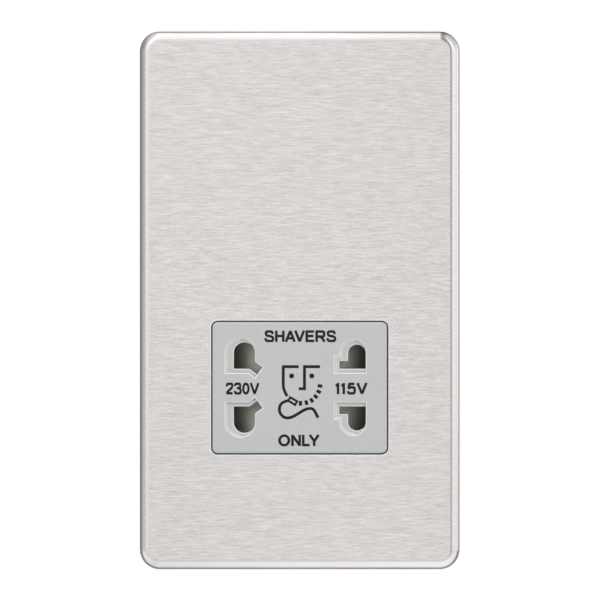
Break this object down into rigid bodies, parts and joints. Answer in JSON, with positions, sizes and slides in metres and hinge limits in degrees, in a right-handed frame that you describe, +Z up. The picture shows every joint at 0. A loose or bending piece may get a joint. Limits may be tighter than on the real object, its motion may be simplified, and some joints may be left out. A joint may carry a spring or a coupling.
{
  "type": "shaver socket",
  "caption": "Dual-voltage shaver socket with a brushed steel front plate, a shuttered socket insert and an isolating transformer in a rear housing.",
  "frame": {"origin": "centre of the wall plane that the mounting frame rests on, midway between the two fixing screws", "axes": "+X to the right seen from the room, +Y into the wall, +Z up"},
  "size_m": [0.088, 0.0432, 0.148],
  "materials": {
    "steel_plate": "horizontally brushed",
    "frame_moulding": "moulded",
    "insert_moulding": "fine satin",
    "shutter_moulding": "satin",
    "carrier_moulding": "moulded",
    "spring_steel": "drawn wire and strip",
    "zinc_steel": "zinc plated",
    "brass": "rolled strip and turned",
    "housing_moulding": "moulded, flame retardant",
    "core_steel": "stacked laminations",
    "bobbin_moulding": "moulded",
    "copper": "enamelled wire",
    "cutout_case": "moulded",
    "block_moulding": "moulded"
  },
  "bodies": {
    "unit": {"front_plate": "steel_plate", "mounting_frame": "frame_moulding", "socket_insert": "insert_moulding", "contact_carrier": "carrier_moulding", "carrier_cover": "carrier_moulding", "shutter_spring_left": "spring_steel", "shutter_spring_right": "spring_steel", "earth_spring": "spring_steel", "plate_studs": "zinc_steel", "fixing_screws": "zinc_steel", "housing_screws": "zinc_steel", "insert_screws": "zinc_steel", "carrier_screws": "zinc_steel", "core_screws": "zinc_steel", "terminal_screws": "zinc_steel", "earth_screw": "zinc_steel", "contact_230v_upper": "brass", "contact_230v_lower": "brass", "contact_115v_upper": "brass", "contact_115v_lower": "brass", "switch_leaf_moving": "brass", "switch_leaf_fixed": "brass", "live_terminal": "brass", "neutral_terminal": "brass", "earth_terminal": "brass", "rear_housing": "housing_moulding", "transformer_core": "core_steel", "transformer_bobbin": "bobbin_moulding", "primary_winding": "copper", "secondary_winding": "copper", "thermal_cutout": "cutout_case", "terminal_block": "block_moulding"},
    "shutter": {"shutter_slider": "shutter_moulding"}
  },
  "joints": [
    {"name": "shutter_slide", "type": "slide", "parent": "unit", "child": "shutter", "axis": [1, 0, 0], "range_m": [-0.0089, 0.0089], "stiffness_N_per_m": 60, "deforming": ["shutter_spring_left", "shutter_spring_right", "switch_leaf_moving"]}
  ]
}
